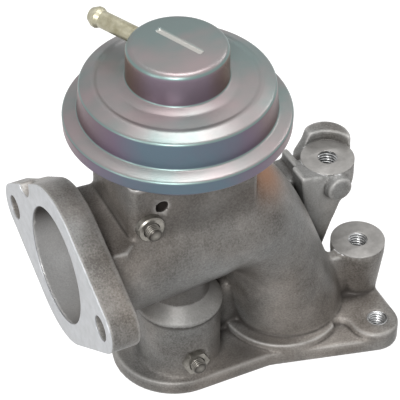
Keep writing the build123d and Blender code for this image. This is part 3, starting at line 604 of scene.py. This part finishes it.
def castHousing():
    # a light blur breaks the edges, a heavy one fills the corners, and the smaller distance of the two is kept;
    # the casting's skin is where the distance is zero
    field, low, (x, y, z) = solidField()
    voxel = casting["voxel"]
    field = grownForms(field, x, y, z)
    filled = blurred(field, casting["corner"])
    smooth = np.minimum(blurred(field, casting["edge"]), filled)
    broad = field - blurred(field, casting["shade"])
    keep = blurred(sharpPlaces(x, y, z).astype(np.float32), casting["sharpEdge"])
    final = cutRoom(field * keep + smooth * (1 - keep), x, y, z)
    skin = openvdb.FloatGrid(casting["reach"] * voxel)
    skin.copyFromArray(final.astype(np.float32), ijk=tuple(int(v) for v in low), tolerance=0.0)
    skin.transform = openvdb.createLinearTransform(voxel)
    vertices, triangles, quads = skin.convertToPolygons(isovalue=0.0, adaptivity=casting["adaptivity"])
    faces = [tuple(face) for face in triangles.tolist()] + [tuple(face) for face in quads.tolist()]
    piece = addMesh("castHousing", vertices, faces, castLook)
    print("casting:", len(vertices), "points,", len(triangles) + 2 * len(quads), "triangles")

    x, y, z = vertices.T
    normals = np.empty(len(vertices) * 3, np.float32)
    piece.data.vertices.foreach_get("normal", normals)
    normals = normals.reshape(-1, 3)
    bend = sampled(field - filled, low, vertices) / voxel    # positive in corners, negative on edges
    broadBend = sampled(broad, low, vertices) / voxel
    rise, bore = z - flange["axisHeight"], tones["bore"]
    inBore = (np.hypot(y, rise) < flange["bore"] + bore["around"]) & (y * normals[:, 1] + rise * normals[:, 2] < 0)
    # the bore's roof, which takes painted shade and none of the bore's painted light
    roof = inBore * smoothStep(rise, *bore["rise"])
    setLayer(piece, "machinedAndLit", cutAndLitTone(x, y, z, normals, inBore, roof))
    setLayer(piece, "hollow", hollowTone(x, y, z, normals, bend, broadBend, roof))
    setLayer(piece, "paintedWarmReflection", bellPatch((x, y, z), tones["paintedWarmReflection"]))
    setLayer(piece, "edge", wearAndPaintedLightTone(x, y, z, normals, bend))
    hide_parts("housing")


castHousing()


def belt(circles, steps):
    # points of a belt run anticlockwise round circles (x, y, radius)
    normals = []
    for (x1, y1, r1), (x2, y2, r2) in zip(circles, circles[1:] + circles[:1]):
        normals.append(math.atan2(y2 - y1, x2 - x1) - math.pi / 2 + math.asin((r1 - r2) / math.hypot(x2 - x1, y2 - y1)))
    line = []
    for i, (x, y, r) in enumerate(circles):
        turn = (normals[i] - normals[i - 1]) % (2 * math.pi)
        angle = normals[i - 1] + turn * np.linspace(0, 1, steps)
        line.append(np.stack([x + r * np.cos(angle), y + r * np.sin(angle)], axis=1))
    return np.vstack(line)


def circle(radius, x=0, steps=96):
    # (x + r cos t, r sin t)
    angle = np.linspace(0, 2 * math.pi, steps, endpoint=False)
    return np.stack([x + radius * np.cos(angle), radius * np.sin(angle)], axis=1)


def flatCap(name, loops, thickness, edge, place, look):
    # a plate filled between closed loops, its edges broken; its outer face lies on the drawing plane, at z = 0,
    # and place carries points of the drawing to where the plate belongs
    curve = bpy.data.curves.new(name, "CURVE")
    curve.dimensions = "2D"
    curve.fill_mode = "BOTH"
    curve.extrude = thickness / 2 - edge
    curve.bevel_depth = edge
    curve.bevel_resolution = 1
    curve.offset = -edge
    for loop in loops:
        spline = curve.splines.new("POLY")
        spline.points.add(len(loop) - 1)
        spline.points.foreach_set("co", np.column_stack([loop, 0 * loop[:, 0], 1 + 0 * loop[:, 0]]).ravel())
        spline.use_cyclic_u = True
    drawn = bpy.data.objects.new(name, curve)
    mesh = bpy.data.meshes.new_from_object(drawn)
    bpy.data.objects.remove(drawn)
    joined = bmesh.new()    # the rims and caps come apart, so their shared points are joined
    joined.from_mesh(mesh)
    bmesh.ops.remove_doubles(joined, verts=joined.verts, dist=0.001 * mm)
    joined.to_mesh(mesh)
    joined.free()
    points = np.empty(len(mesh.vertices) * 3)
    mesh.vertices.foreach_get("co", points)
    points = points.reshape(-1, 3) - (0, 0, thickness / 2)
    mesh.vertices.foreach_set("co", place(points).ravel())
    mesh.update()
    turnOutwards(mesh)
    mesh.materials.clear()
    mesh.materials.append(look)
    mesh.shade_smooth()
    mesh.set_sharp_from_angle(angle=math.radians(30))
    piece = bpy.data.objects.new(name, mesh)
    bpy.context.collection.objects.link(piece)
    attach(piece, "housing_body")


def threadRadius(turn, reach, pitch, inner, outer):
    # a vee thread that climbs one pitch a turn; a tenth of the pitch is flat at its crest and a tenth at its root
    phase = (reach / pitch - turn) % 1
    wave = np.clip(np.abs(phase - 0.5) * 2.5 - 0.125, 0, 1)
    return inner + (outer - inner) * wave


def tappedThread(name, x, y, top, depth, scale):
    # the hole's wall as a closed sleeve: chamfered mouth, vee thread down to a drilled end, plain outside
    thread = {"pitch": 1.25 * mm, "inner": 3.2 * scale * mm, "outer": 3.95 * scale * mm, "mouth": 3.6 * scale * mm,
              "outside": 4.7 * scale * mm, "turns": 48, "rowsPerPitch": 10, "fade": (1.5, 0.7)}    # fade in pitches
    turns, rows = thread["turns"], int(depth / (thread["pitch"] / thread["rowsPerPitch"]))
    height = np.linspace(0, -depth, rows)[:, None]
    angle = np.linspace(0, 2 * math.pi, turns, endpoint=False)[None, :]
    radius = threadRadius(angle / (2 * math.pi), height, thread["pitch"], thread["inner"], thread["outer"])
    radius = np.maximum(radius, thread["mouth"] + height)
    blunt = smoothStep(-height, *(depth - count * thread["pitch"] for count in thread["fade"]))
    radius = radius * (1 - blunt) + thread["inner"] * blunt
    outside = np.full((1, turns), thread["outside"])
    around = np.vstack([outside, radius, outside])
    level = top + np.vstack([height[:1], height, height[-1:]])
    points = np.stack([x + around * np.cos(angle), y + around * np.sin(angle), level + 0 * angle], axis=-1)
    faces = gridFaces(rows + 2, turns, wrapRows=True)[:, ::-1]
    piece = addMesh(name, points.reshape(-1, 3), faces, threadLook, sharpAngle=40)
    # the groove layer darkens the thread's roots: painted shade
    groove = np.clip((around - thread["inner"]) / (thread["outer"] - thread["inner"]), 0, 1)
    groove[[0, -1]] = 0
    setLayer(piece, "groove", groove)


def placeInlet(points):
    # from the flange's drawing plane: x along the bolt line, y across it, z out along -X
    c, s = math.cos(flange["tilt"]), math.sin(flange["tilt"])
    along, across, out = points.T
    return np.stack([casting["flangeX"] - out, -c * along + s * across,
                     flange["axisHeight"] - s * along - c * across], axis=1)


caps = {"thickness": 0.5 * mm, "inletEdge": 0.12 * mm, "postEdge": 0.15 * mm, "postHole": 3.6 * mm}


def inletFace():
    # a belt round the hub and both ears; its points inside the notch move straight inwards on to the notch's arc
    half, ear, hub = flange["half"], flange["ear"], flange["hub"]
    outline = belt([(half, 0, ear), (0, 0, hub), (-half, 0, ear), (0, 0, hub)], 48)
    outline = refined(np.vstack([outline, outline[:1]]), 0.7 * mm)[:-1]
    spread, centre = notchCentre()
    away = outline - centre
    distance = np.linalg.norm(away, axis=1)
    inward = np.array([math.sin(spread), math.cos(spread)])
    reach = -(away @ inward)
    depth = reach + np.sqrt(np.clip(notch["radius"] ** 2 - distance ** 2 + reach ** 2, 0, None))
    outline = np.where((distance < notch["radius"])[:, None], outline + inward * depth[:, None], outline)
    loops = [outline, circle(flange["bore"], steps=160), circle(flange["hole"], half), circle(flange["hole"], -half)]
    flatCap("inletFace", loops, caps["thickness"], caps["inletEdge"], placeInlet, faceLook)


def threadedPin(name, root, radius, length, pitch):
    # a stud pointing along -Y: thread radius against turn and reach, its end chamfered and closed by a point
    turns, sunk, chamfer, groove = 48, 0.8 * mm, 0.6 * mm, 0.55 * pitch
    reach = np.arange(-sunk, length, pitch / 10)[:, None]
    angle = np.linspace(0, 2 * math.pi, turns, endpoint=False)[None, :]
    around = threadRadius(angle / (2 * math.pi), reach, pitch, radius - groove, radius)
    around = np.minimum(around, radius - chamfer + np.minimum(length - reach, chamfer))
    rings = np.stack([root[0] + around * np.cos(angle), root[1] - reach + 0 * angle, root[2] + around * np.sin(angle)],
                     axis=-1).reshape(-1, 3)
    points = np.vstack([[[root[0], root[1] + sunk, root[2]]], rings, [[root[0], root[1] - length, root[2]]]])
    piece = addMesh(name, points, cappedRings(len(reach), turns), studLook, sharpAngle=40)
    # the groove layer darkens the thread's roots: painted shade
    setLayer(piece, "groove", np.clip(np.concatenate([[0], ((radius - around) / groove).ravel(), [0]]), 0, 1))
    return piece


sleeve = {"underFace": 0.06 * mm, "insideMouth": 0.5 * mm, "endGap": 0.2 * mm, "overBase": 0.05 * mm}
for name, stud in studs.items():
    pin = threadedPin(f"{name}StudThread", **stud)
    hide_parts(f"{name}_stud")

inletFace()
for name, (postX, postY, top, radius) in posts.items():
    # a milled face covers the sleeve's end; the lobe has none, so its sleeve starts inside the mouth
    sunk = sleeve["underFace"] if name in milledPosts else sleeve["insideMouth"]
    depth = min(tapDepths[name] - sleeve["endGap"], top - sleeve["overBase"]) - sunk
    tappedThread(f"{name}PostThread", postX, postY, top - sunk, depth, threadScale[name])
    if name in milledPosts:
        flatCap(f"{name}PostFace", [circle(radius), circle(caps["postHole"])], caps["thickness"], caps["postEdge"],
                lambda points, place=(postX, postY, top): points + place, machinedLook)
print("cut faces and threads ready")

# The pressed cover of the diaphragm case, in mm: its outer line from the axis to the crimp, and the slot in its top.
cover = {"sheet": 1.2, "turns": 256, "topStep": 0.25, "step": 0.6, "line": [
    (0, 144.7), (17.0, 144.7), (17.2, 132.7), (20.5, 131.5), (26.4, 131.0), (27.9, 131.5), (32.6, 129.6), (33.4, 120.0),
    (38.4, 118.6), (38.2, 113.6), (35.0, 113.6)],
    "corners": [2.3, 1.0, 5.0, 2.5, 2.5, 1.5, 1.0, 1.3, 0.6],
    "slot": {"length": 19.0, "width": 2.2, "depth": 0.55, "slope": (-0.25, 0.2), "angle": math.radians(-66),
             "centre": (1.5, 1.5)}}


def diaphragmCover():
    # the outer line, refined, then the same line moved in by the sheet, carried round Z; the slot is pressed in
    outside = rounded(cover["line"], cover["corners"], 8)
    outside = np.vstack([refined(outside[:2], cover["topStep"]), refined(outside[1:], cover["step"])[1:]])
    inside = offsetLine(outside, -cover["sheet"])[::-1]
    inside[-1, 0] = 0
    points, faces = turnedSolid(np.vstack([outside, inside]), cover["turns"])
    slot = cover["slot"]
    c, s = math.cos(slot["angle"]), math.sin(slot["angle"])
    dx, dy = points[:, 0] - slot["centre"][0], points[:, 1] - slot["centre"][1]
    along, across = np.abs(c * dx + s * dy), np.abs(c * dy - s * dx)
    corner = slot["width"] / 4
    away = np.hypot(np.maximum(along - slot["length"] / 2 + corner, 0), np.maximum(across - corner, 0)) - corner
    outer = points[:, 2] > cover["line"][0][1] - 0.3    # the outer skin alone
    pressed = smoothStep(-away, *slot["slope"]) * outer
    points[:, 2] -= slot["depth"] * pressed
    piece = addMesh("diaphragmCover", points * mm, faces, zincLook)
    setLayer(piece, "pressed", pressed)
    return piece


coverPiece = diaphragmCover()
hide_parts("diaphragm_cover")
print("case ready")


def returnSpring():
    # a wire round a helix, its first and last turns laid nearly flat; the section lies across the wire's run
    coil = {"radius": 12.6 * mm, "wire": 1.15 * mm, "bottom": 112.46 * mm, "top": 143.48 * mm, "turns": 6.6,
            "flat": (0.54, 1.26), "endRise": 0.42, "moreRise": 0.58, "steps": 44, "section": 14, "kept": 0.807,
            "fixedEnd": 143.5 * mm}
    share = np.linspace(0, coil["turns"], int(coil["turns"] * coil["steps"]))
    rate = coil["endRise"] + coil["moreRise"] * smoothStep(np.minimum(share, coil["turns"] - share), *coil["flat"])
    height = np.concatenate([[0], np.cumsum((rate[1:] + rate[:-1]) / 2)])
    room = coil["top"] - coil["bottom"] - 2 * coil["wire"]
    height = coil["bottom"] + coil["wire"] + height / height[-1] * room
    angle = share * 2 * math.pi
    out = np.stack([np.cos(angle), np.sin(angle), 0 * angle], axis=1)
    centre = out * coil["radius"]
    centre[:, 2] = height
    run = np.gradient(centre, axis=0)
    run /= np.linalg.norm(run, axis=1)[:, None]
    across = np.cross(run, out)
    turn = np.linspace(0, 2 * math.pi, coil["section"], endpoint=False)[None, :, None]
    rings = centre[:, None] + coil["wire"] * (np.cos(turn) * out[:, None] + np.sin(turn) * across[:, None])
    points = np.vstack([centre[:1], rings.reshape(-1, 3), centre[-1:]])
    piece = addMesh("returnSpring", points, cappedRings(len(share), coil["section"]), springLook)
    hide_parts("return_spring")
    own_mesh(piece)


def rubberDiaphragm():
    # a flat middle, one sloped roll and a square bead: the lower line, then the same line raised by the thickness
    web = {"line": [(2.55, 109.6), (24.0, 109.6), (31.5, 116.35), (34.5, 116.35)], "corners": [1.5, 1.5],
           "bead": [(34.5, 116.0), (36.8, 116.0), (36.8, 118.2), (34.5, 118.2)], "thickness": 1.5, "kept": 0.2,
           "fixedEnd": 117.1 * mm}
    under = refined(rounded(web["line"], web["corners"]), 2.0)
    over = offsetLine(under, web["thickness"])[::-1]
    points, faces = closedShell(np.vstack([under, web["bead"], over]))
    piece = addMesh("rubberDiaphragm", points * mm, faces, rubberLook, sharpAngle=50)
    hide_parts("diaphragm")
    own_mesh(piece)


returnSpring()
rubberDiaphragm()
print("spring and diaphragm ready")

view = {"place": (-0.21973, -0.46645, 0.53187), "back": (-0.3298, -0.6744, 0.6606), "roll": 0.320, "lens": 180,
        "sensor": 36, "farEnd": 20}
studio = {"target": (0.02, 0, 0.06), "ambient": (0.01, 0.40), "lighterSide": (-0.45, 0.35, 0.85),
          "lighterFrom": (0.1, 0.92), "background": 1.0}
floorLook = {"half": 3.0, "drop": 0.2 * mm, "grey": 0.35, "specular": 0.1, "glow": 0.85}
lamps = {"key": ((-0.50, -0.80, 0.72), (0.30, 0.30), 10.5), "left": ((-1.05, -0.30, 0.50), (0.3, 0.3), 2.6),
         "top": ((0.12, 0.08, 1.02), (0.45, 0.40), 5.5), "right": ((0.85, 0.15, 0.70), (0.22, 0.22), 1.5)}


def addCamera():
    # a camera turned by its own backward direction and a small roll about it
    back = Vector(view["back"]).normalized()
    right = Vector((0, 0, 1)).cross(back).normalized()
    up = back.cross(right)
    turn = math.radians(view["roll"])
    side = right * math.cos(turn) + up * math.sin(turn)
    head = back.cross(side)
    data = bpy.data.cameras.new("camera")
    data.lens = view["lens"]
    data.sensor_width = view["sensor"]
    data.clip_end = view["farEnd"]
    camera = bpy.data.objects.new("camera", data)
    turned = Matrix((side, head, back)).transposed().to_4x4()
    camera.matrix_world = Matrix.Translation(view["place"]) @ turned
    bpy.context.collection.objects.link(camera)
    bpy.context.scene.camera = camera


def addLamp(name, place, size, power):
    data = bpy.data.lights.new(name, "AREA")
    data.shape = "RECTANGLE"
    data.size, data.size_y = size
    data.energy = power
    lamp = bpy.data.objects.new(name, data)
    lamp.location = place
    lamp.rotation_euler = (Vector(studio["target"]) - Vector(place)).to_track_quat("-Z", "Y").to_euler()
    bpy.context.collection.objects.link(lamp)


def seenWhite(nodes, links):
    # 1 for the camera's rays and those of glass and reflections, 0 for the light that falls on the object
    path = nodes.new("ShaderNodeLightPath")
    seen = mathNode(nodes, links, "MAXIMUM", path.outputs["Is Camera Ray"], path.outputs["Is Transmission Ray"])
    return mathNode(nodes, links, "MAXIMUM", seen, path.outputs["Is Glossy Ray"])


def addWorld():
    # white where it is seen; its light is stronger up and to the left
    world = bpy.data.worlds.new("studio")
    bpy.context.scene.world = world
    world.use_nodes = True
    nodes, links = world.node_tree.nodes, world.node_tree.links
    shade = nodes["Background"]
    shade.inputs["Color"].default_value = (1, 1, 1, 1)
    where = nodes.new("ShaderNodeTexCoord")
    towards = howFarAlong(nodes, links, where.outputs["Generated"], Vector(studio["lighterSide"]).normalized())
    light = smoothShare(nodes, links, towards, *studio["lighterFrom"])
    light.node.inputs["To Min"].default_value, light.node.inputs["To Max"].default_value = studio["ambient"]
    strength = nodes.new("ShaderNodeMix")
    strength.inputs["B"].default_value = studio["background"]
    links.new(seenWhite(nodes, links), strength.inputs["Factor"])
    links.new(light, strength.inputs["A"])
    links.new(strength.outputs["Result"], shade.inputs["Strength"])


def addFloor():
    # a square just below the object that glows white where it is seen
    half = floorLook["half"]
    mesh = bpy.data.meshes.new("floor")
    corners = [(x * half, y * half, -floorLook["drop"]) for x, y in ((-1, -1), (1, -1), (1, 1), (-1, 1))]
    mesh.from_pydata(corners, [], [(0, 1, 2, 3)])
    floor = bpy.data.objects.new("floor", mesh)
    bpy.context.collection.objects.link(floor)
    made, nodes, links, shader = material("paleFloor", 0.0, 0.9)
    shader.inputs["Base Color"].default_value = (floorLook["grey"], floorLook["grey"], floorLook["grey"], 1)
    shader.inputs["Specular IOR Level"].default_value = floorLook["specular"]
    links.new(scaled(nodes, links, seenWhite(nodes, links), floorLook["glow"]), shader.inputs["Emission Strength"])
    shader.inputs["Emission Color"].default_value = (1, 1, 1, 1)
    mesh.materials.append(made)


addCamera()
addWorld()
addFloor()
for name, (place, size, power) in lamps.items():
    addLamp(name, place, size, power)
bpy.context.scene.view_settings.view_transform = "Standard"
print("stage ready")
